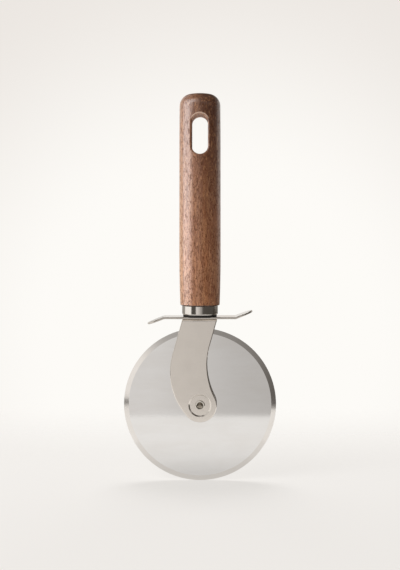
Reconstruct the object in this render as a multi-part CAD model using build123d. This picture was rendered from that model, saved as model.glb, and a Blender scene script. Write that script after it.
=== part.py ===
from build123d import *

import math
import os

# Pizza cutter. The wheel's lowest point is the origin, +Z runs up the handle,
# +Y runs along the axle away from the front, and +X is to the right. Millimetres.

# Whole tool
overall_height = 225.0
overrun = 5.0

# Cutting wheel
wheel_dia = 88.5
wheel_thickness = 1.0
wheel_bevel_width = 2.8
wheel_edge_land = 0.14
wheel_bore_dia = 10.0

# Yoke: one sheet folded into a fork with two curved arms
yoke_sheet = 1.2
yoke_gap = 9.0
yoke_bend_radius = 0.4
yoke_headroom = 4.5
web_half_width = 10.1
arm_end_radius = 9.8

# The round on the cut edges, as a share of the sheet
yoke_edge_share = 0.45

# How far the arm's left edge swings out, how high above the axle it does so, and the radius of
# the hollow in its right edge, as shares of the arm's length
arm_reach_share = 0.347
arm_rise_share = 0.385
arm_hollow_share = 0.84

# Round dish pressed into each arm round the axle
dish_dia = 13.2
dish_floor_dia = 11.6
dish_depth = 0.6
dish_boss_dia = 14.4

# Axle rivet, its spacer sleeve, the thrust washers and the wheel's hub
rivet_shank_dia = 4.8
rivet_bore_dia = 3.7
rivet_bore_depth = 3.6
rivet_bore_point = 0.9
rivet_rim_dia = 5.8
rivet_rim_height = 0.75
rivet_head_dia = 8.4
rivet_head_height = 1.1
rivet_head_edge = 0.4
rivet_clearance = 0.05
sleeve_wall = 0.8
washer_dia = 12.0
washer_thickness = 0.4
washer_clearance = 0.06
hub_running_clearance = 0.05
hub_end_clearance = 0.08
hub_flange_dia = 15.0
hub_flange_thickness = 1.3
hub_nose_dia = 11.0
hub_nose_chamfer = 0.4
hub_flange_round = 0.35

# Finger guard; the round on its edges is a share of the sheet
guard_sheet = 1.2
guard_edge_share = 0.45
guard_depth = 14.0
guard_span = 61.0
guard_flat_half = 20.7
guard_wing_angle = 21.0
guard_bend_radius = 2.4

# Neck: gasket and ferrule
gasket_dia = 19.6
gasket_thickness = 1.0
gasket_edge_round = 0.2
ferrule_dia = 20.8
ferrule_height = 5.4
ferrule_wall = 0.8
ferrule_top_round = 0.35
ferrule_foot_round = 0.8
ferrule_floor_round = 0.3

# Wooden handle
grip_dia = 24.0
grip_foot_share = 0.954
grip_top_share = 0.98
grip_lower_taper = 29.0
grip_upper_taper = 30.0
grip_foot_round = 0.7
grip_crown_rise = 2.0
grip_crown_round = 7.0
tenon_clearance = 0.1
slot_width = 9.3
slot_height = 23.0
slot_top_wall = 12.8
slot_edge_round = 0.8

# Fixing: screw, spring washer and threaded insert
screw_dia = 4.0
screw_hole_dia = 4.5
screw_head_dia = 7.4
screw_head_height = 2.0
screw_head_dome = 0.8
screw_length = 20.0
screw_tip_chamfer = 0.5
drive_arm_width = 0.9
drive_span = 4.0
drive_depth = 1.2
spring_washer_dia = 7.4
spring_washer_thickness = 0.9
spring_washer_slit = 1.0
insert_dia = 7.0
insert_length = 14.0
insert_barb_count = 4
insert_barb_height = 0.45
insert_barb_land_share = 0.3
pilot_spare_depth = 3.0

# Heights that stack up from the floor
pivot_height = wheel_dia / 2
web_bottom = wheel_dia + yoke_headroom
web_top = web_bottom + yoke_sheet
arm_length = web_top - pivot_height
arm_reach = arm_length * arm_reach_share
arm_rise = arm_length * arm_rise_share
arm_hollow_radius = arm_length * arm_hollow_share
guard_top = web_top + guard_sheet
ferrule_foot = guard_top + gasket_thickness
ferrule_floor = ferrule_foot + ferrule_wall
grip_foot = ferrule_foot + ferrule_height

# Places along the axle
arm_inner_face = yoke_gap / 2
arm_outer_face = arm_inner_face + yoke_sheet
boss_face = arm_inner_face - dish_depth
dish_face = arm_outer_face - dish_depth
washer_face = boss_face - washer_thickness
hub_face = washer_face - hub_end_clearance
rivet_hole_radius = rivet_shank_dia / 2 + rivet_clearance
sleeve_radius = rivet_hole_radius + sleeve_wall
hub_bore_radius = sleeve_radius + hub_running_clearance


def turned_about_axle(outline):
    """Turn an outline of (radius, place along the axle) corners about the wheel's axle."""
    return Pos(0, 0, pivot_height) * revolve(make_face(outline), Axis.Y)


def axle_disc(radius, start, end):
    """A plain disc or pin about the axle between two places along Y."""
    plate = Cylinder(radius, end - start, align=(Align.CENTER, Align.CENTER, Align.MIN))
    return Pos(0, start, pivot_height) * Rot(X=-90) * plate


def upright_disc(radius, start, end):
    """A plain disc or pin about the handle's axis between two heights."""
    return Pos(0, 0, start) * Cylinder(radius, end - start, align=(Align.CENTER, Align.CENTER, Align.MIN))


def other_side(piece):
    """The same piece on the rear side of the wheel."""
    return mirror(piece, about=Plane.XZ)


def point_on_line(start, through, distance):
    """The point at a distance from start, on the line through a second point."""
    dx = through[0] - start[0]
    dz = through[1] - start[1]
    reach = math.hypot(dx, dz)
    return (start[0] + distance * dx / reach, start[1] + distance * dz / reach)


def arc_between(start, end, centre):
    """The short arc from start to end round a centre."""
    middle = ((start[0] + end[0]) / 2, (start[1] + end[1]) / 2)
    radius = math.dist(start, centre)
    return ThreePointArc(start, point_on_line(centre, middle, radius), end)


def arm_outline():
    """The arm seen from the front: it swings out to the left and comes back to the axle."""
    hub = (0, pivot_height)
    top_left = (-web_half_width, web_top)
    top_right = (web_half_width, web_top)

    # The left edge runs down the neck and into a curve that holds the round end and touches it.
    bulge_radius = (arm_reach**2 + arm_rise**2 - arm_end_radius**2) / (2 * (arm_reach - arm_end_radius))
    bulge_centre = (bulge_radius - arm_reach, pivot_height + arm_rise)
    bulge_end = point_on_line(bulge_centre, hub, bulge_radius)
    reach = math.dist(top_left, bulge_centre)
    angle = math.atan2(top_left[1] - bulge_centre[1], top_left[0] - bulge_centre[0])
    angle += math.acos(bulge_radius / reach)
    bulge_start = (
        bulge_centre[0] + bulge_radius * math.cos(angle),
        bulge_centre[1] + bulge_radius * math.sin(angle),
    )

    # The right edge runs down beside it, then into a hollow curve that touches the round end.
    neck_x = -math.sin(angle)
    neck_z = math.cos(angle)
    from_hub_x = top_right[0] - neck_z * arm_hollow_radius - hub[0]
    from_hub_z = top_right[1] + neck_x * arm_hollow_radius - hub[1]
    touching = arm_hollow_radius + arm_end_radius
    along = from_hub_x * neck_x + from_hub_z * neck_z
    neck_length = -along - math.sqrt(along**2 - from_hub_x**2 - from_hub_z**2 + touching**2)
    hollow_centre = (
        hub[0] + from_hub_x + neck_x * neck_length,
        hub[1] + from_hub_z + neck_z * neck_length,
    )
    hollow_start = (top_right[0] + neck_x * neck_length, top_right[1] + neck_z * neck_length)
    hollow_end = point_on_line(hub, hollow_centre, arm_end_radius)

    return [
        Line(top_right, top_left),
        Line(top_left, bulge_start),
        arc_between(bulge_start, bulge_end, bulge_centre),
        ThreePointArc(bulge_end, (0, pivot_height - arm_end_radius), hollow_end),
        arc_between(hollow_end, hollow_start, hollow_centre),
        Line(hollow_start, top_right),
    ]


def runs_along_x(edge):
    """True for a fold line, which is straight and lies along X."""
    size = edge.bounding_box().size
    return size.X > yoke_sheet and size.Y + size.Z < size.X / overall_height


def runs_along_y(edge):
    """True for a line across the guard, from its front edge to its rear edge."""
    size = edge.bounding_box().size
    return size.Y > guard_sheet and size.X + size.Z < size.Y / overall_height


def make_yoke():
    """The fork: a folded channel cut to the arm's outline, with a dish and a hole in each arm."""
    outer = Pos(0, 0, web_top) * Box(
        4 * web_half_width + 2 * arm_reach,
        2 * arm_outer_face,
        web_top + overrun,
        align=(Align.CENTER, Align.CENTER, Align.MAX),
    )
    outer = fillet(outer.edges().filter_by(Axis.X).group_by(Axis.Z)[-1], yoke_bend_radius + yoke_sheet)
    inner = Pos(0, 0, web_bottom) * Box(
        4 * web_half_width + 2 * arm_reach,
        2 * arm_inner_face,
        web_bottom + 2 * overrun,
        align=(Align.CENTER, Align.CENTER, Align.MAX),
    )
    inner = fillet(inner.edges().filter_by(Axis.X).group_by(Axis.Z)[-1], yoke_bend_radius)
    outline = extrude(Plane.XZ * make_face(arm_outline()), arm_outer_face + overrun, both=True)
    yoke = (outer - inner) & outline
    yoke = fillet([edge for edge in yoke.edges() if not runs_along_x(edge)], yoke_sheet * yoke_edge_share)

    pressed_wall = dish_boss_dia - dish_dia
    front_boss = turned_about_axle(
        Polyline(
            (0, -arm_inner_face - yoke_sheet / 2),
            (dish_boss_dia / 2, -arm_inner_face - yoke_sheet / 2),
            (dish_boss_dia / 2, -arm_inner_face),
            ((dish_floor_dia + pressed_wall) / 2, -boss_face),
            (0, -boss_face),
            close=True,
        )
    )
    front_dish = turned_about_axle(
        Polyline(
            (0, -arm_outer_face - overrun),
            (dish_dia / 2, -arm_outer_face - overrun),
            (dish_dia / 2, -arm_outer_face),
            (dish_floor_dia / 2, -dish_face),
            (0, -dish_face),
            close=True,
        )
    )
    yoke = yoke + front_boss + other_side(front_boss) - front_dish - other_side(front_dish)
    yoke = yoke - axle_disc(rivet_hole_radius, -arm_outer_face - overrun, arm_outer_face + overrun)
    return yoke - upright_disc(screw_hole_dia / 2, web_bottom - overrun, web_top + overrun)


def make_wheel():
    """The blade: a thin disc ground to an edge from both faces."""
    radius = wheel_dia / 2
    face = wheel_thickness / 2
    edge = wheel_edge_land / 2
    bore = wheel_bore_dia / 2
    return turned_about_axle(
        Polyline(
            (bore, -face),
            (radius - wheel_bevel_width, -face),
            (radius, -edge),
            (radius, edge),
            (radius - wheel_bevel_width, face),
            (bore, face),
            close=True,
        )
    )


def make_front_hub():
    """Half of the hub: a stepped flange outside the blade and a spigot in the blade's hole."""
    blade_face = wheel_thickness / 2
    step = blade_face + hub_flange_thickness
    half = turned_about_axle(
        Polyline(
            (hub_bore_radius, 0),
            (wheel_bore_dia / 2, 0),
            (wheel_bore_dia / 2, -blade_face),
            (hub_flange_dia / 2, -blade_face),
            (hub_flange_dia / 2, -step + hub_flange_round),
            (hub_flange_dia / 2 - hub_flange_round, -step),
            (hub_nose_dia / 2, -step),
            (hub_nose_dia / 2, -hub_face + hub_nose_chamfer),
            (hub_nose_dia / 2 - hub_nose_chamfer, -hub_face),
            (hub_bore_radius, -hub_face),
            close=True,
        )
    )
    return half


def make_front_washer():
    """A thin thrust washer between the arm's boss and the hub."""
    ring = axle_disc(washer_dia / 2, -boss_face, -washer_face)
    return ring - axle_disc(sleeve_radius + washer_clearance, -boss_face - overrun, overrun)


def make_sleeve():
    """The spacer tube that holds the arms apart and that the hub turns on."""
    tube = axle_disc(sleeve_radius, -boss_face, boss_face)
    return tube - axle_disc(rivet_hole_radius, -boss_face - overrun, boss_face + overrun)


def make_rivet():
    """The semi-tubular rivet: a low head at the rear and a rolled rim round its hollow in front."""
    shank = rivet_shank_dia / 2
    bore = rivet_bore_dia / 2
    rim = rivet_rim_dia / 2
    crest = (bore + rim) / 2
    bore_end = -dish_face + rivet_bore_depth
    head_edge = dish_face + rivet_head_edge
    profile = [
        Line((0, bore_end + rivet_bore_point), (bore, bore_end)),
        Line((bore, bore_end), (bore, -dish_face)),
        ThreePointArc((bore, -dish_face), (crest, -dish_face - rivet_rim_height), (rim, -dish_face)),
        Line((rim, -dish_face), (shank, -dish_face)),
        Line((shank, -dish_face), (shank, dish_face)),
        Line((shank, dish_face), (rivet_head_dia / 2, dish_face)),
        Line((rivet_head_dia / 2, dish_face), (rivet_head_dia / 2, head_edge)),
        TangentArc(
            (0, dish_face + rivet_head_height),
            (rivet_head_dia / 2, head_edge),
            tangent=(1, 0),
        ),
        Line((0, dish_face + rivet_head_height), (0, bore_end + rivet_bore_point)),
    ]
    return turned_about_axle(profile)


def make_guard():
    """The finger guard: a flat strip with one wing bent down and the other bent up."""
    half = guard_sheet / 2
    angle = math.radians(guard_wing_angle)
    mitre = half * math.tan(angle / 2)
    wing_reach = guard_span / 2 - guard_flat_half + overrun
    wing_rise = wing_reach * math.tan(angle)
    edge_rise = half / math.cos(angle)
    centre_height = web_top + half
    tip_x = guard_flat_half + wing_reach
    section = make_face(
        Plane.XZ
        * Pos(0, centre_height)
        * Polyline(
            (-guard_flat_half - mitre, half),
            (guard_flat_half - mitre, half),
            (tip_x, wing_rise + edge_rise),
            (tip_x, wing_rise - edge_rise),
            (guard_flat_half + mitre, -half),
            (-guard_flat_half + mitre, -half),
            (-tip_x, -wing_rise - edge_rise),
            (-tip_x, -wing_rise + edge_rise),
            close=True,
        )
    )
    strip = extrude(section, guard_depth / 2, both=True)
    folds = [
        edge
        for edge in strip.edges().filter_by(Axis.Y)
        if abs(edge.center().X) < guard_flat_half + guard_sheet
    ]
    hollow_side = [edge for edge in folds if (edge.center().Z - centre_height) * edge.center().X > 0]
    outer_side = [edge for edge in folds if (edge.center().Z - centre_height) * edge.center().X < 0]
    strip = fillet(hollow_side, guard_bend_radius)
    strip = fillet(matching_edges(strip, outer_side), guard_bend_radius + guard_sheet)

    plan = Pos(0, 0, centre_height) * SlotOverall(guard_span, guard_depth)
    strip = strip & extrude(plan, guard_span, both=True)
    strip = fillet([edge for edge in strip.edges() if not runs_along_y(edge)], guard_sheet * guard_edge_share)
    return strip - upright_disc(screw_hole_dia / 2, web_top - overrun, guard_top + overrun)


def matching_edges(solid, edges):
    """The solid's edges that lie where the given ones do."""
    return [
        mine
        for mine in solid.edges()
        if any((mine.center() - other.center()).length < guard_sheet / 2 for other in edges)
    ]


def make_gasket():
    """The black washer between the ferrule and the guard."""
    ring = upright_disc(gasket_dia / 2, guard_top, ferrule_foot)
    ring = fillet(ring.edges().filter_by(GeomType.CIRCLE), gasket_edge_round)
    return ring - upright_disc(screw_hole_dia / 2, guard_top - overrun, ferrule_foot + overrun)


def make_ferrule():
    """The steel cup that holds the handle's tenon."""
    shell = upright_disc(ferrule_dia / 2, ferrule_foot, grip_foot)
    shell = fillet(shell.edges().filter_by(GeomType.CIRCLE).group_by(Axis.Z)[0], ferrule_foot_round)
    shell = fillet(shell.edges().filter_by(GeomType.CIRCLE).group_by(Axis.Z)[-1], ferrule_top_round)
    inside = upright_disc(ferrule_dia / 2 - ferrule_wall, ferrule_floor, grip_foot + overrun)
    inside = fillet(inside.edges().filter_by(GeomType.CIRCLE).group_by(Axis.Z)[0], ferrule_floor_round)
    return shell - inside - upright_disc(screw_hole_dia / 2, ferrule_foot - overrun, grip_foot)


def insert_outline():
    """The insert's barbed outside, from the handle's end up: each barb leans back towards it."""
    radius = insert_dia / 2
    root = radius - insert_barb_height
    pitch = insert_length / insert_barb_count
    points = [(0, ferrule_floor), (radius, ferrule_floor)]
    for barb in range(insert_barb_count):
        foot = ferrule_floor + barb * pitch
        points.append((radius, foot + pitch * insert_barb_land_share))
        points.append((root, foot + pitch))
        if barb < insert_barb_count - 1:
            points.append((radius, foot + pitch))
    points.append((0, ferrule_floor + insert_length))
    return Polyline(points, close=True)


def make_insert_blank():
    """The insert without its thread hole, which is also the room that it fills in the wood."""
    return revolve(make_face(Plane.XZ * insert_outline()), Axis.Z)


def make_insert():
    """The threaded insert, with its thread drawn as a plain hole."""
    return make_insert_blank() - upright_disc(screw_dia / 2, ferrule_floor - overrun, web_top + 2 * screw_length)


def make_handle():
    """The turned grip with its domed crown, its tenon, the hanging slot and the screw's hole."""
    belly = grip_dia / 2
    foot = belly * grip_foot_share
    top = belly * grip_top_share
    shoulder_height = overall_height - grip_crown_rise
    profile = make_face(
        [
            Line((0, grip_foot), (foot, grip_foot)),
            TangentArc((belly, grip_foot + grip_lower_taper), (foot, grip_foot), tangent=(0, -1)),
            Line((belly, grip_foot + grip_lower_taper), (belly, shoulder_height - grip_upper_taper)),
            TangentArc((belly, shoulder_height - grip_upper_taper), (top, shoulder_height), tangent=(0, 1)),
            TangentArc((0, overall_height), (top, shoulder_height), tangent=(1, 0)),
            Line((0, overall_height), (0, grip_foot)),
        ]
    )
    outer_corners = profile.vertices().filter_by(lambda corner: corner.X > top - grip_foot_round)
    profile = fillet(outer_corners.sort_by(Axis.Y)[-1], grip_crown_round)
    outer_corners = profile.vertices().filter_by(lambda corner: corner.X > foot - grip_foot_round)
    profile = fillet(outer_corners.sort_by(Axis.Y)[0], grip_foot_round)
    grip = revolve(Plane.XZ * profile, Axis.Z)

    tenon_radius = ferrule_dia / 2 - ferrule_wall - tenon_clearance
    tenon = upright_disc(tenon_radius, ferrule_floor, grip_foot)
    tenon = chamfer(tenon.edges().filter_by(GeomType.CIRCLE).group_by(Axis.Z)[0], ferrule_floor_round)
    grip = grip + tenon

    slot_centre = overall_height - slot_top_wall - slot_height / 2
    slot = extrude(
        Plane.XZ * Pos(0, slot_centre) * Rot(Z=90) * SlotOverall(slot_height, slot_width),
        grip_dia,
        both=True,
    )
    grip = grip - slot
    rims = [
        edge
        for edge in grip.edges()
        if abs(edge.center().Z - slot_centre) < slot_height and not runs_along_y(edge)
    ]
    rims = [edge for edge in rims if abs(edge.center().X) < slot_width]
    grip = fillet(rims, slot_edge_round)

    pilot_end = web_bottom - spring_washer_thickness + screw_length + pilot_spare_depth
    grip = grip - upright_disc(screw_hole_dia / 2, ferrule_floor - overrun, pilot_end)
    return grip - make_insert_blank()


def make_screw():
    """The pan-head screw, driven up from inside the yoke, with a cross-shaped drive."""
    under_head = web_bottom - spring_washer_thickness
    head_foot = under_head - screw_head_height
    shank = upright_disc(screw_dia / 2, under_head - screw_head_height / 2, under_head + screw_length)
    shank = chamfer(shank.edges().filter_by(GeomType.CIRCLE).group_by(Axis.Z)[-1], screw_tip_chamfer)
    head = upright_disc(screw_head_dia / 2, head_foot, under_head)
    head = fillet(head.edges().filter_by(GeomType.CIRCLE).group_by(Axis.Z)[0], screw_head_dome)
    drive_arm = Pos(0, 0, head_foot) * Box(drive_span, drive_arm_width, 2 * drive_depth)
    return head + shank - drive_arm - Rot(Z=90) * drive_arm


def make_spring_washer():
    """The split lock washer under the screw's head."""
    foot = web_bottom - spring_washer_thickness
    ring = upright_disc(spring_washer_dia / 2, foot, web_bottom)
    ring = ring - upright_disc(screw_hole_dia / 2, foot - overrun, web_bottom + overrun)
    slit = Pos(spring_washer_dia / 2, 0, foot) * Box(spring_washer_dia, spring_washer_slit, overrun)
    return ring - slit


front_hub = make_front_hub()
front_washer = make_front_washer()
pieces = {
    "handle": make_handle(),
    "handle_insert": make_insert(),
    "ferrule": make_ferrule(),
    "neck_gasket": make_gasket(),
    "finger_guard": make_guard(),
    "yoke": make_yoke(),
    "handle_screw": make_screw(),
    "spring_washer": make_spring_washer(),
    "axle_rivet": make_rivet(),
    "axle_sleeve": make_sleeve(),
    "front_thrust_washer": front_washer,
    "rear_thrust_washer": other_side(front_washer),
    "front_hub_half": front_hub,
    "rear_hub_half": other_side(front_hub),
    "cutting_wheel": make_wheel(),
}

os.makedirs("parts", exist_ok=True)
for name, piece in pieces.items():
    export_step(piece, f"parts/{name}.step")
    size = piece.bounding_box().size
    print(f"{name}: {size.X:.2f} x {size.Y:.2f} x {size.Z:.2f} mm, {piece.volume:.1f} mm3")
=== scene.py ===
import math

import bpy
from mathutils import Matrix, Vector


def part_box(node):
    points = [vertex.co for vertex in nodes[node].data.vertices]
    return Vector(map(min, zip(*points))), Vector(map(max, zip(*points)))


# The looks of a pizza cutter, in metres. +Z runs up the handle, +Y runs along the wheel's axle
# away from the front, and +X is to the right.

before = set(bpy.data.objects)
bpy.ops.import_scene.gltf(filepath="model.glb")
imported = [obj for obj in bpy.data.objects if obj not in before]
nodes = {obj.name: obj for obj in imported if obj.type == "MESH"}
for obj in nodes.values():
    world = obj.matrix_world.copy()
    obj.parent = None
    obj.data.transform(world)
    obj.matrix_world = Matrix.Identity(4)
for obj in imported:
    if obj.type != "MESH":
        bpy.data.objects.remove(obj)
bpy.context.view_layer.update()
mm = 0.001

# Wheel and rivet
wheel_low, wheel_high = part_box("cutting_wheel")
wheel_radius = (wheel_high.z - wheel_low.z) / 2
pivot_height = (wheel_high.z + wheel_low.z) / 2
bevel_start = wheel_radius - 2.8 * mm
hollow_radius = 1.6 * mm
hollow_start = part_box("axle_rivet")[0].y + 0.65 * mm
hollow_end = 0.1 * mm

# Handle: the joint at its foot, the upper half-round end of its hanging slot, and its oiled skin
handle_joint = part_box("ferrule")[1].z
slot_centre = 207.55 * mm
slot_radius = 4.65 * mm
slot_top = slot_centre + slot_radius
skin_radius = 11.4 * mm

# Walnut: how far its grain wanders, and the rings of growth round a heart outside the handle
sway_width = 5 * mm
ripple_width = 1.6 * mm
heart_x = -38 * mm
heart_y = 30 * mm
ring_spacing = 3.4 * mm

# Camera: level, with its picture shifted so that its own height is at the level row
image_height = 570
level_row = 223
camera_place = (7 * mm, -628 * mm, 149.6 * mm)
camera_lens = 68.13
camera_sensor = 36

# The floor fades into the backdrop behind the object, and also all round it further out
floor_size = 12.0
floor_fade_start = 0.03
floor_fade_end = 0.26
floor_round_start = 0.28
floor_round_end = 0.65
glow_share = 0.68

# The white table top, which lights the object from below and shows in the steel
table_left = -0.38
table_right = 0.15
table_front = -0.21
table_back = 0.9
table_edge = 0.02

# Brightness of the panel behind the camera: compass degrees, then a grey of 0 to 255
front_panel = [
    (-24.0, 236), (-19.0, 244), (-14.0, 234), (-9.0, 218), (-3.0, 216), (1.0, 192),
    (3.5, 186), (9.5, 180), (13.0, 150), (16.0, 128), (20.0, 104), (24.0, 70),
]


def rgb(red, green, blue):
    """A colour from three values of 0 to 255, as a screen shows them."""

    def linear(value):
        share = value / 255
        return share / 12.92 if share <= 0.04045 else ((share + 0.055) / 1.055) ** 2.4

    return (linear(red), linear(green), linear(blue), 1)


class Graph:
    """A node tree, with short calls that add a node and give its output."""

    def __init__(self, tree):
        self.tree = tree
        tree.nodes.clear()

    def put(self, socket, value):
        if isinstance(value, bpy.types.NodeSocket):
            self.tree.links.new(value, socket)
        else:
            socket.default_value = value

    def add(self, kind, inputs=None, **settings):
        node = self.tree.nodes.new(kind)
        for name, value in settings.items():
            setattr(node, name, value)
        for name, value in (inputs or {}).items():
            self.put(node.inputs[name], value)
        return node

    def math(self, operation, *values):
        node = self.add("ShaderNodeMath", operation=operation)
        for socket, value in zip(node.inputs, values):
            self.put(socket, value)
        return node.outputs[0]

    def plus(self, first, second):
        return self.math("ADD", first, second)

    def minus(self, first, second):
        return self.math("SUBTRACT", first, second)

    def times(self, first, second):
        return self.math("MULTIPLY", first, second)

    def length(self, first, second):
        """The long side of a right angle, from its two short sides."""
        squares = self.plus(self.times(first, first), self.times(second, second))
        return self.math("SQRT", squares)

    def remap(self, value, low, high, start=0.0, end=1.0, smooth=True):
        """A value that goes from start to end as the given one goes from low to high."""
        kind = "SMOOTHSTEP" if smooth else "LINEAR"
        inputs = {"Value": value, "From Min": low, "From Max": high, "To Min": start, "To Max": end}
        return self.add("ShaderNodeMapRange", inputs, interpolation_type=kind).outputs[0]

    def ramp(self, value, low, high, greys):
        """A warm grey that follows a list of (value, grey)."""
        share = self.math("DIVIDE", self.minus(value, low), high - low)
        node = self.add("ShaderNodeValToRGB", {"Fac": share})
        elements = node.color_ramp.elements
        while len(elements) < len(greys):
            elements.new(0.5)
        for element, (place, grey) in zip(elements, greys):
            element.position = (place - low) / (high - low)
            element.color = rgb(grey, grey - 4, grey - 8)
        return node.outputs[0]

    def window(self, value, low, high, soft):
        """1 between low and high, and 0 outside, with soft edges."""
        rise = self.remap(value, low - soft / 2, low + soft / 2)
        fall = self.remap(value, high - soft / 2, high + soft / 2, 1.0, 0.0)
        return self.times(rise, fall)

    def mix(self, share, first, second):
        """A colour between two."""
        node = self.add("ShaderNodeMix", data_type="RGBA")
        self.put(node.inputs[0], share)
        self.put(node.inputs[6], first)
        self.put(node.inputs[7], second)
        return node.outputs[2]

    def darken(self, share, first, second):
        """A colour times another one, by a share."""
        node = self.add("ShaderNodeMix", data_type="RGBA", blend_type="MULTIPLY")
        self.put(node.inputs[0], share)
        self.put(node.inputs[6], first)
        self.put(node.inputs[7], second)
        return node.outputs[2]

    def blend(self, share, first, second):
        """A shader between two."""
        node = self.add("ShaderNodeMixShader")
        self.put(node.inputs[0], share)
        self.put(node.inputs[1], first)
        self.put(node.inputs[2], second)
        return node.outputs[0]

    def split(self, vector):
        node = self.add("ShaderNodeSeparateXYZ", {"Vector": vector})
        return node.outputs[0], node.outputs[1], node.outputs[2]

    def join(self, x, y, z):
        return self.add("ShaderNodeCombineXYZ", {"X": x, "Y": y, "Z": z}).outputs[0]

    def place(self):
        """The point of the surface, in the object's own metres."""
        return self.add("ShaderNodeTexCoord").outputs["Object"]

    def stretch(self, vector, x, y, z):
        inputs = {0: vector, 1: (x, y, z)}
        return self.add("ShaderNodeVectorMath", inputs, operation="MULTIPLY").outputs[0]

    def noise(self, vector, scale, detail=2.0, roughness=0.5, curl=0.0):
        inputs = {
            "Vector": vector,
            "Scale": scale,
            "Detail": detail,
            "Roughness": roughness,
            "Distortion": curl,
        }
        return self.add("ShaderNodeTexNoise", inputs).outputs[0]

    def bump(self, height, distance, strength=1.0):
        inputs = {"Height": height, "Distance": distance, "Strength": strength}
        return self.add("ShaderNodeBump", inputs).outputs[0]

    def light_path(self, name):
        return self.add("ShaderNodeLightPath").outputs[name]


def new_material(name):
    material = bpy.data.materials.new(name)
    material.use_nodes = True
    return material, Graph(material.node_tree)


def finish_surface(graph, shader):
    output = graph.add("ShaderNodeOutputMaterial")
    graph.put(output.inputs["Surface"], shader)


def paint(node_name, material):
    """Give a CAD node its finish."""
    piece = nodes[node_name]
    piece.data.materials.clear()
    piece.data.materials.append(material)


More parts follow.
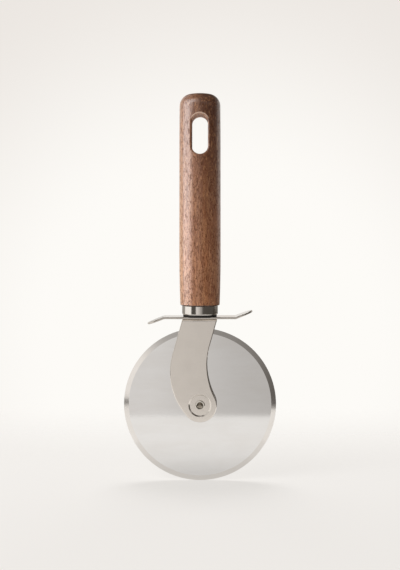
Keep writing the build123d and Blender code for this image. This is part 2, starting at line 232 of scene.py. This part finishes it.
def make_walnut():
    """Oiled walnut, turned along its grain: growth bands, cloudy figure, and fine pores."""
    material, graph = new_material("walnut")
    place = graph.place()
    x, y, z = graph.split(place)

    # The grain wanders a little sideways as it runs up the handle.
    sway = graph.noise(graph.stretch(place, 1, 1, 0.35), 60, 2)
    ripple = graph.noise(graph.stretch(place, 1, 1, 0.5), 260, 2)
    sway = graph.times(graph.minus(sway, 0.5), sway_width)
    ripple = graph.times(graph.minus(ripple, 0.5), ripple_width)
    shift = graph.plus(sway, ripple)
    grain_x = graph.plus(x, shift)
    grain_y = graph.plus(y, graph.times(shift, 0.7))
    grain = graph.join(grain_x, grain_y, z)

    # Each growth band darkens outward from the heart.
    from_heart = graph.length(graph.minus(grain_x, heart_x), graph.minus(grain_y, heart_y))
    ring = graph.math("FRACT", graph.times(from_heart, 1 / ring_spacing))
    late = graph.remap(ring, 0.15, 0.9)

    # Figure, streaks and clouds, then painted shade up the handle, most on its right and at its crown, and
    # a painted rim light at its left edge
    figure = graph.noise(graph.stretch(grain, 1, 1, 0.3), 230, 3, 0.6)
    streak = graph.noise(graph.stretch(grain, 1, 1, 0.06), 900, 3, 0.6)
    cloud = graph.noise(graph.stretch(place, 1, 1, 0.5), 75, 2)
    base = graph.mix(graph.remap(figure, 0.32, 0.68), rgb(159, 100, 62), rgb(189, 130, 88))
    base = graph.mix(graph.times(graph.remap(streak, 0.42, 0.72), 0.55), base, rgb(119, 71, 42))
    base = graph.mix(graph.times(late, 0.28), base, rgb(111, 65, 39))
    base = graph.mix(graph.times(graph.remap(cloud, 0.5, 0.72), 0.35), base, rgb(166, 100, 62))
    # Painted shade: the wood darkens going up the handle, more on its right side, towards a colour darkest
    # at the crown.
    rising_shade = graph.remap(grain_x, -6 * mm, 5 * mm, 0.6, 1.0)
    rising_shade = graph.times(graph.remap(z, 120 * mm, 210 * mm), rising_shade)
    shade_colour = graph.mix(graph.remap(z, 195 * mm, 222 * mm), rgb(84, 40, 16), rgb(60, 24, 7))
    base = graph.mix(graph.times(rising_shade, 0.85), base, shade_colour)
    # Painted rim light: the left edge is paler, less so near the top.
    left_rim_light = graph.remap(z, 150 * mm, 195 * mm, 0.55, 0.25)
    left_rim_light = graph.times(graph.remap(x, -8.5 * mm, -11.8 * mm), left_rim_light)
    base = graph.mix(left_rim_light, base, rgb(216, 178, 144))

    # Painted shade: the wood just above the joint with the ferrule is darkened, for the shadowed gap
    # between them.
    joint = graph.remap(z, handle_joint + 0.35 * mm, handle_joint + 0.75 * mm, 1.0, 0.0)

    # Pores: short dark dashes along the grain, in two sizes, and pale ones between them
    pore_noise = graph.noise(graph.stretch(grain, 1, 1, 0.32), 1150, 2, 0.6, 1.2)
    pores = graph.remap(pore_noise, 0.50, 0.62)
    fine_noise = graph.noise(graph.stretch(grain, 1, 1, 0.35), 2500, 1, 0.5, 1.0)
    fine_pores = graph.remap(fine_noise, 0.54, 0.68)
    dash = graph.math("MAXIMUM", pores, graph.times(fine_pores, 0.6))
    pale_noise = graph.noise(graph.stretch(grain, 1, 1, 0.28), 1250, 2, 0.6, 1.0)
    pale = graph.remap(pale_noise, 0.52, 0.66)
    base = graph.mix(graph.times(pale, 0.45), base, rgb(212, 154, 110))
    colour = graph.mix(graph.times(dash, 0.72), base, rgb(86, 48, 26))
    # Painted shade at the joint with the ferrule
    colour = graph.mix(graph.times(joint, 0.85), colour, rgb(34, 22, 17))

    # The slot's wall is paler at its upper end, and so is the edge round that end.
    over = graph.math("MAXIMUM", graph.minus(z, slot_centre), 0.0)
    from_slot = graph.minus(graph.length(x, over), slot_radius)
    wall = graph.remap(from_slot, 0.25 * mm, 0.05 * mm)
    wall = graph.times(wall, graph.remap(over, 0.0, 2.5 * mm))
    second_tone = graph.window(from_slot, 0.25 * mm, 1.0 * mm, 0.2 * mm)
    second_tone = graph.times(second_tone, graph.remap(over, 1.2 * mm, 3.6 * mm))
    colour = graph.mix(wall, colour, rgb(241, 188, 157))
    colour = graph.mix(graph.times(second_tone, 0.7), colour, rgb(238, 206, 184))

    # Oil lies on the handle's skin, and not inside the slot.
    skin = graph.remap(graph.length(x, y), skin_radius - 0.5 * mm, skin_radius)
    crown = graph.remap(z, slot_top - 0.2 * mm, slot_top + 0.8 * mm)
    oiled = graph.math("MAXIMUM", skin, crown)
    oil = graph.times(graph.remap(dash, 0.0, 1.0, 1.0, 0.3, smooth=False), oiled)

    height = graph.minus(graph.times(streak, 0.25), graph.minus(dash, graph.times(pale, 0.5)))
    rough = graph.plus(graph.remap(streak, 0.3, 0.7, 0.40, 0.50, smooth=False), graph.times(dash, 0.15))
    inputs = {
        "Base Color": colour,
        "Roughness": rough,
        "IOR": 1.3,
        "Coat Weight": oil,
        "Coat Roughness": 0.29,
        "Coat IOR": 1.7,
        "Normal": graph.bump(height, 0.1 * mm, 0.7),
    }
    finish_surface(graph, graph.add("ShaderNodeBsdfPrincipled", inputs).outputs[0])
    return material


def metal_shader(graph, colour, roughness, normal=None):
    inputs = {"Base Color": colour, "Metallic": 1.0, "Roughness": roughness}
    if normal is not None:
        inputs["Normal"] = normal
    return graph.add("ShaderNodeBsdfPrincipled", inputs).outputs[0]


def make_blade_steel():
    """Mirror-polished sheet with faint rings from polishing, and a ground bevel at its rim."""
    material, graph = new_material("blade_steel")
    place = graph.place()
    x, y, z = graph.split(place)
    height = graph.minus(z, pivot_height)
    radius = graph.length(x, height)
    bevel = graph.remap(radius, bevel_start - 0.05 * mm, bevel_start + 0.05 * mm)
    rings = graph.noise(graph.join(graph.times(radius, 9000.0), 0.0, 0.0), 1.0, 3, 0.7)
    haze = graph.noise(place, 60, 3)
    smudge = graph.noise(graph.stretch(place, 0.6, 1, 2.4), 45, 4, 0.6)
    flat_rough = graph.remap(haze, 0.3, 0.7, 0.05, 0.065, smooth=False)
    ground_rough = graph.times(bevel, graph.remap(rings, 0.2, 0.8, 0.02, 0.05, smooth=False))
    rough = graph.plus(flat_rough, ground_rough)
    tone = graph.mix(graph.remap(smudge, 0.35, 0.7), rgb(246, 246, 246), rgb(242, 241, 240))
    tone = graph.mix(graph.times(bevel, graph.remap(rings, 0.3, 0.8)), tone, rgb(236, 228, 218))
    scratch = graph.bump(rings, 0.002 * mm, 0.35)
    finish_surface(graph, metal_shader(graph, tone, rough, scratch))
    return material


def make_brushed_metal(name, colour, second_tone, roughness, run=(1, 1, 0.03), depth=0.003 * mm):
    """Satin metal with fine lines along one direction and small changes of tone."""
    material, graph = new_material(name)
    place = graph.place()
    lines = graph.noise(graph.stretch(place, *run), 7000, 3, 0.65)
    haze = graph.noise(place, 120, 3)
    tone = graph.mix(graph.remap(haze, 0.35, 0.7), colour, second_tone)
    tone = graph.mix(graph.times(graph.remap(lines, 0.35, 0.75), 0.35), tone, second_tone)
    rough = graph.remap(lines, 0.3, 0.7, roughness * 0.85, roughness * 1.15, smooth=False)
    finish_surface(graph, metal_shader(graph, tone, rough, graph.bump(lines, depth, 0.4)))
    return material


def make_rivet_steel():
    """Polished steel, with painted shade deep in the rivet's hollow end."""
    material, graph = new_material("rivet_steel")
    place = graph.place()
    x, y, z = graph.split(place)
    height = graph.minus(z, pivot_height)
    haze = graph.noise(place, 900, 3, 0.6)
    inside = graph.remap(graph.length(x, height), hollow_radius + 0.15 * mm, hollow_radius - 0.15 * mm)
    deep = graph.window(y, hollow_start, hollow_end, 0.6 * mm)
    tone = graph.mix(graph.remap(haze, 0.35, 0.7), rgb(238, 233, 226), rgb(224, 219, 211))
    # Painted shade inside the rivet's hollow end
    tone = graph.mix(graph.times(graph.times(inside, deep), 0.65), tone, rgb(92, 82, 70))
    rough = graph.remap(haze, 0.3, 0.7, 0.12, 0.16, smooth=False)
    finish_surface(graph, metal_shader(graph, tone, rough))
    return material


def make_rubber():
    """Black moulded rubber with a fine matt grain."""
    material, graph = new_material("black_gasket")
    grain = graph.noise(graph.place(), 4500, 3, 0.7)
    tone = graph.mix(graph.remap(grain, 0.3, 0.8), rgb(24, 22, 21), rgb(40, 37, 35))
    inputs = {
        "Base Color": tone,
        "Roughness": graph.remap(grain, 0.3, 0.7, 0.5, 0.68, smooth=False),
        "Normal": graph.bump(grain, 0.02 * mm, 0.5),
    }
    finish_surface(graph, graph.add("ShaderNodeBsdfPrincipled", inputs).outputs[0])
    return material


def make_nylon():
    """Dark moulded nylon with a faint pebbled skin."""
    material, graph = new_material("hub_nylon")
    grain = graph.noise(graph.place(), 2600, 2)
    tone = graph.mix(graph.remap(grain, 0.3, 0.75), rgb(52, 52, 51), rgb(66, 65, 63))
    inputs = {
        "Base Color": tone,
        "Roughness": graph.remap(grain, 0.3, 0.7, 0.42, 0.55, smooth=False),
        "Normal": graph.bump(grain, 0.01 * mm, 0.4),
    }
    finish_surface(graph, graph.add("ShaderNodeBsdfPrincipled", inputs).outputs[0])
    return material


walnut = make_walnut()
blade_steel = make_blade_steel()
yoke_steel = make_brushed_metal("yoke_steel", rgb(242, 236, 229), rgb(238, 232, 225), 0.17)
guard_steel = make_brushed_metal(
    "guard_steel", rgb(210, 204, 197), rgb(198, 192, 185), 0.1, run=(0.03, 1, 1), depth=0.0005 * mm
)
ferrule_steel = make_brushed_metal(
    "ferrule_steel", rgb(220, 216, 211), rgb(208, 203, 197), 0.12, run=(0.05, 0.05, 1)
)
rivet_steel = make_rivet_steel()
washer_steel = make_brushed_metal("washer_steel", rgb(214, 211, 207), rgb(196, 193, 188), 0.25)
fastener_steel = make_brushed_metal("fastener_steel", rgb(206, 203, 199), rgb(184, 181, 176), 0.28)
brass = make_brushed_metal("brass", rgb(214, 178, 110), rgb(188, 150, 86), 0.26)
rubber = make_rubber()
nylon = make_nylon()

finishes = {
    "handle": walnut,
    "handle_insert": brass,
    "ferrule": ferrule_steel,
    "neck_gasket": rubber,
    "finger_guard": guard_steel,
    "yoke": yoke_steel,
    "handle_screw": fastener_steel,
    "spring_washer": fastener_steel,
    "axle_rivet": rivet_steel,
    "axle_sleeve": fastener_steel,
    "front_thrust_washer": washer_steel,
    "rear_thrust_washer": washer_steel,
    "front_hub_half": nylon,
    "rear_hub_half": nylon,
    "cutting_wheel": blade_steel,
}
for node_name, finish in finishes.items():
    paint(node_name, finish)


def make_floor():
    """A pale floor that fades into the backdrop, and lights the object as a white table top."""
    mesh = bpy.data.meshes.new("floor")
    half = floor_size / 2
    corners = [(-half, -half, 0), (half, -half, 0), (half, half, 0), (-half, half, 0)]
    mesh.from_pydata(corners, [], [(0, 1, 2, 3)])
    floor = bpy.data.objects.new("floor", mesh)
    bpy.context.scene.collection.objects.link(floor)

    material, graph = new_material("floor")
    place = graph.place()
    x, y, z = graph.split(place)
    grain = graph.noise(place, 900, 3, 0.6)
    # Painted light: the floor is darker at the front and paler behind.
    tone = graph.mix(graph.remap(y, -0.16, 0.04), rgb(236, 233, 230), rgb(244, 242, 240))
    tone = graph.mix(graph.times(grain, 0.2), tone, rgb(228, 225, 221))

    # In the steel, the part of the table close by is in the object's own shade.
    near = graph.remap(y, -0.11, 0.0, 0.96, 0.78, smooth=False)
    beside = graph.remap(graph.math("ABSOLUTE", x), 0.04, 0.06)
    shade = graph.math("MAXIMUM", near, beside)
    shade = graph.math("MAXIMUM", shade, graph.light_path("Is Camera Ray"))
    diffuse = graph.add("ShaderNodeBsdfDiffuse", {"Color": tone}).outputs[0]
    glow = graph.add("ShaderNodeEmission", {"Color": rgb(243, 240, 236), "Strength": shade}).outputs[0]
    lit = graph.blend(glow_share, diffuse, glow)
    clear = graph.add("ShaderNodeBsdfTransparent").outputs[0]

    # The camera sees the whole floor, and all other rays only the table top.
    back_fade = graph.remap(y, floor_fade_start, floor_fade_end)
    round_fade = graph.remap(graph.length(x, y), floor_round_start, floor_round_end)
    seen = graph.blend(graph.math("MAXIMUM", back_fade, round_fade), lit, clear)
    across = graph.window(x, table_left, table_right, table_edge)
    along = graph.window(y, table_front, table_back, table_edge)
    table = graph.blend(graph.times(across, along), clear, lit)
    finish_surface(graph, graph.blend(graph.light_path("Is Camera Ray"), table, seen))
    floor.data.materials.append(material)
    return floor


def make_world():
    """A cream backdrop for the camera, and round the object a studio of light and dark panels."""
    world = bpy.data.worlds.new("studio")
    bpy.context.scene.world = world
    world.use_nodes = True
    graph = Graph(world.node_tree)
    direction = graph.add("ShaderNodeTexCoord").outputs["Generated"]
    x, y, z = graph.split(direction)
    turn = graph.math("DEGREES", graph.math("ARCTAN2", x, graph.times(y, -1.0)))
    rise = graph.math("DEGREES", graph.math("ARCSINE", z))

    # Dark walls by the compass, 0 behind the camera and growing to the right
    dark = graph.mix(graph.window(turn, 112.0, 185.0, 12.0), rgb(88, 84, 79), rgb(104, 100, 94))
    dark = graph.mix(graph.window(turn, -185.0, -108.0, 10.0), dark, rgb(172, 168, 162))

    # The panel behind the camera, a little darker above its middle
    front = graph.ramp(turn, -24.0, 24.0, front_panel)
    falloff = graph.times(graph.remap(rise, 3.0, 9.5, 0.0, 0.42), graph.remap(rise, 13.0, 18.0, 1.0, 0.0))
    front = graph.darken(falloff, front, (0, 0, 0, 1))
    panel = graph.window(turn, -26.0, 22.0, 3.0)
    colour = graph.mix(panel, dark, front)

    # Soft panels: high on the right, high on the left, and a bright one at the left
    fill = graph.times(graph.window(turn, 20.0, 66.0, 12.0), graph.window(rise, 15.0, 31.0, 6.0))
    colour = graph.mix(fill, colour, rgb(186, 182, 178))
    upper = graph.times(graph.window(turn, -100.0, -20.0, 16.0), graph.window(rise, 24.0, 54.0, 8.0))
    colour = graph.mix(upper, colour, rgb(206, 202, 198))
    left = graph.times(graph.window(turn, -112.0, -58.0, 6.0), graph.window(rise, -32.0, 24.0, 6.0))
    colour = graph.mix(left, colour, rgb(240, 237, 232))

    # The backdrop beyond the object, cut off at its upper right, and the rim light beside it
    aside = graph.math("ABSOLUTE", turn)
    behind = graph.times(graph.remap(aside, 105.0, 140.0), graph.remap(rise, 0.0, 3.0))
    shoulder = graph.times(graph.remap(turn, 90.0, 100.0), graph.remap(rise, 14.0, 26.0))
    behind = graph.times(behind, graph.minus(1.0, shoulder))
    colour = graph.mix(behind, colour, rgb(246, 243, 239))
    right_rim = graph.times(graph.remap(turn, 102.0, 122.0), graph.remap(rise, -3.8, -2.8))
    right_rim = graph.times(right_rim, graph.minus(1.0, shoulder))
    colour = graph.mix(right_rim, colour, rgb(238, 232, 226))

    # Right behind the object: grey low down and dark high up
    back = graph.remap(aside, 150.0, 165.0)
    low = graph.times(back, graph.remap(rise, 2.0, 0.0))
    colour = graph.mix(low, colour, rgb(176, 172, 167))
    high = graph.times(back, graph.remap(rise, 18.0, 26.0))
    colour = graph.mix(high, colour, rgb(70, 66, 62))

    # Ceiling, floor, and a dark strip along the table's edge
    colour = graph.mix(graph.remap(rise, 52.0, 70.0), colour, rgb(118, 115, 112))
    colour = graph.mix(graph.remap(rise, -12.0, -25.0), colour, rgb(120, 116, 110))
    strip = graph.times(graph.window(rise, -9.6, -8.1, 0.4), graph.window(turn, -130.0, -17.0, 4.0))
    colour = graph.mix(strip, colour, rgb(40, 37, 34))

    # Seen by the camera, the backdrop is palest in the middle and falls off to the sides, as a painted pool
    # of light.
    away = graph.math("ABSOLUTE", graph.math("DEGREES", graph.math("ARCTAN2", x, y)))
    up = graph.math("ABSOLUTE", graph.minus(rise, -6.0))
    seen = graph.mix(graph.remap(graph.length(away, up), 8.0, 21.0), rgb(253, 251, 247), rgb(236, 231, 226))

    final = graph.mix(graph.light_path("Is Camera Ray"), colour, seen)
    sky = graph.add("ShaderNodeBackground", {"Color": final, "Strength": 1.0}).outputs[0]
    output = graph.add("ShaderNodeOutputWorld")
    graph.put(output.inputs["Surface"], sky)


def aim(thing, height):
    """Turn a lamp or a camera to a point on the object's axis."""
    towards = Vector((0, 0, height)) - thing.location
    thing.rotation_euler = towards.to_track_quat("-Z", "Y").to_euler()


def make_softbox(name, compass, distance, height, width, tall, radiance, aim_height, lights):
    """A soft rectangular lamp in a compass direction, which lights only the objects in a list."""
    lamp_data = bpy.data.lights.new(name, "AREA")
    lamp_data.shape = "RECTANGLE"
    lamp_data.size = width
    lamp_data.size_y = tall
    lamp_data.energy = radiance * math.pi * width * tall
    lamp = bpy.data.objects.new(name, lamp_data)
    bpy.context.scene.collection.objects.link(lamp)
    angle = math.radians(compass)
    lamp.location = (distance * math.sin(angle), -distance * math.cos(angle), height)
    aim(lamp, aim_height)
    lamp.visible_camera = False
    lit = bpy.data.collections.new(name + "_lights")
    for piece in lights:
        lit.objects.link(piece)
    lamp.light_linking.receiver_collection = lit
    return lamp


def make_camera():
    camera_data = bpy.data.cameras.new("camera")
    camera_data.sensor_width = camera_sensor
    camera_data.lens = camera_lens
    camera = bpy.data.objects.new("camera", camera_data)
    bpy.context.scene.collection.objects.link(camera)
    camera.location = camera_place
    camera_data.shift_y = (level_row - image_height / 2) / image_height
    aim(camera, camera.location.z)
    bpy.context.scene.camera = camera


floor = make_floor()
make_world()
wood = [nodes["handle"]]
metal = [piece for name, piece in nodes.items() if name != "handle"]
side_lit = [nodes[name] for name in ("ferrule", "finger_guard", "cutting_wheel")]

make_softbox(
    "key", compass=-75, distance=0.9, height=0.52, width=1.14, tall=1.04,
    radiance=2.5, aim_height=0.52, lights=wood,
)
gloss = make_softbox(
    "gloss", compass=-80, distance=0.9, height=0.22, width=0.9, tall=1.04,
    radiance=1.9, aim_height=0.22, lights=wood,
)
gloss.visible_diffuse = False
make_softbox(
    "metal_key", compass=-84, distance=0.9, height=0.08, width=0.9, tall=0.34,
    radiance=0.35, aim_height=0.08, lights=side_lit,
)
fill = make_softbox(
    "fill", compass=68, distance=0.8, height=0.08, width=0.6, tall=0.5,
    radiance=1.25, aim_height=0.12, lights=wood,
)
fill.visible_glossy = False
make_softbox(
    "high", compass=-50, distance=0.8, height=0.85, width=0.7, tall=0.5,
    radiance=3.0, aim_height=0.15, lights=wood + [floor],
)
make_softbox(
    "top", compass=180, distance=0.45, height=1.2, width=0.7, tall=0.6,
    radiance=1.6, aim_height=0, lights=metal,
)
make_softbox(
    "ground", compass=180, distance=0.45, height=1.2, width=0.7, tall=0.6,
    radiance=6.6, aim_height=0, lights=[floor],
)
make_camera()
bpy.context.scene.view_settings.view_transform = "Standard"
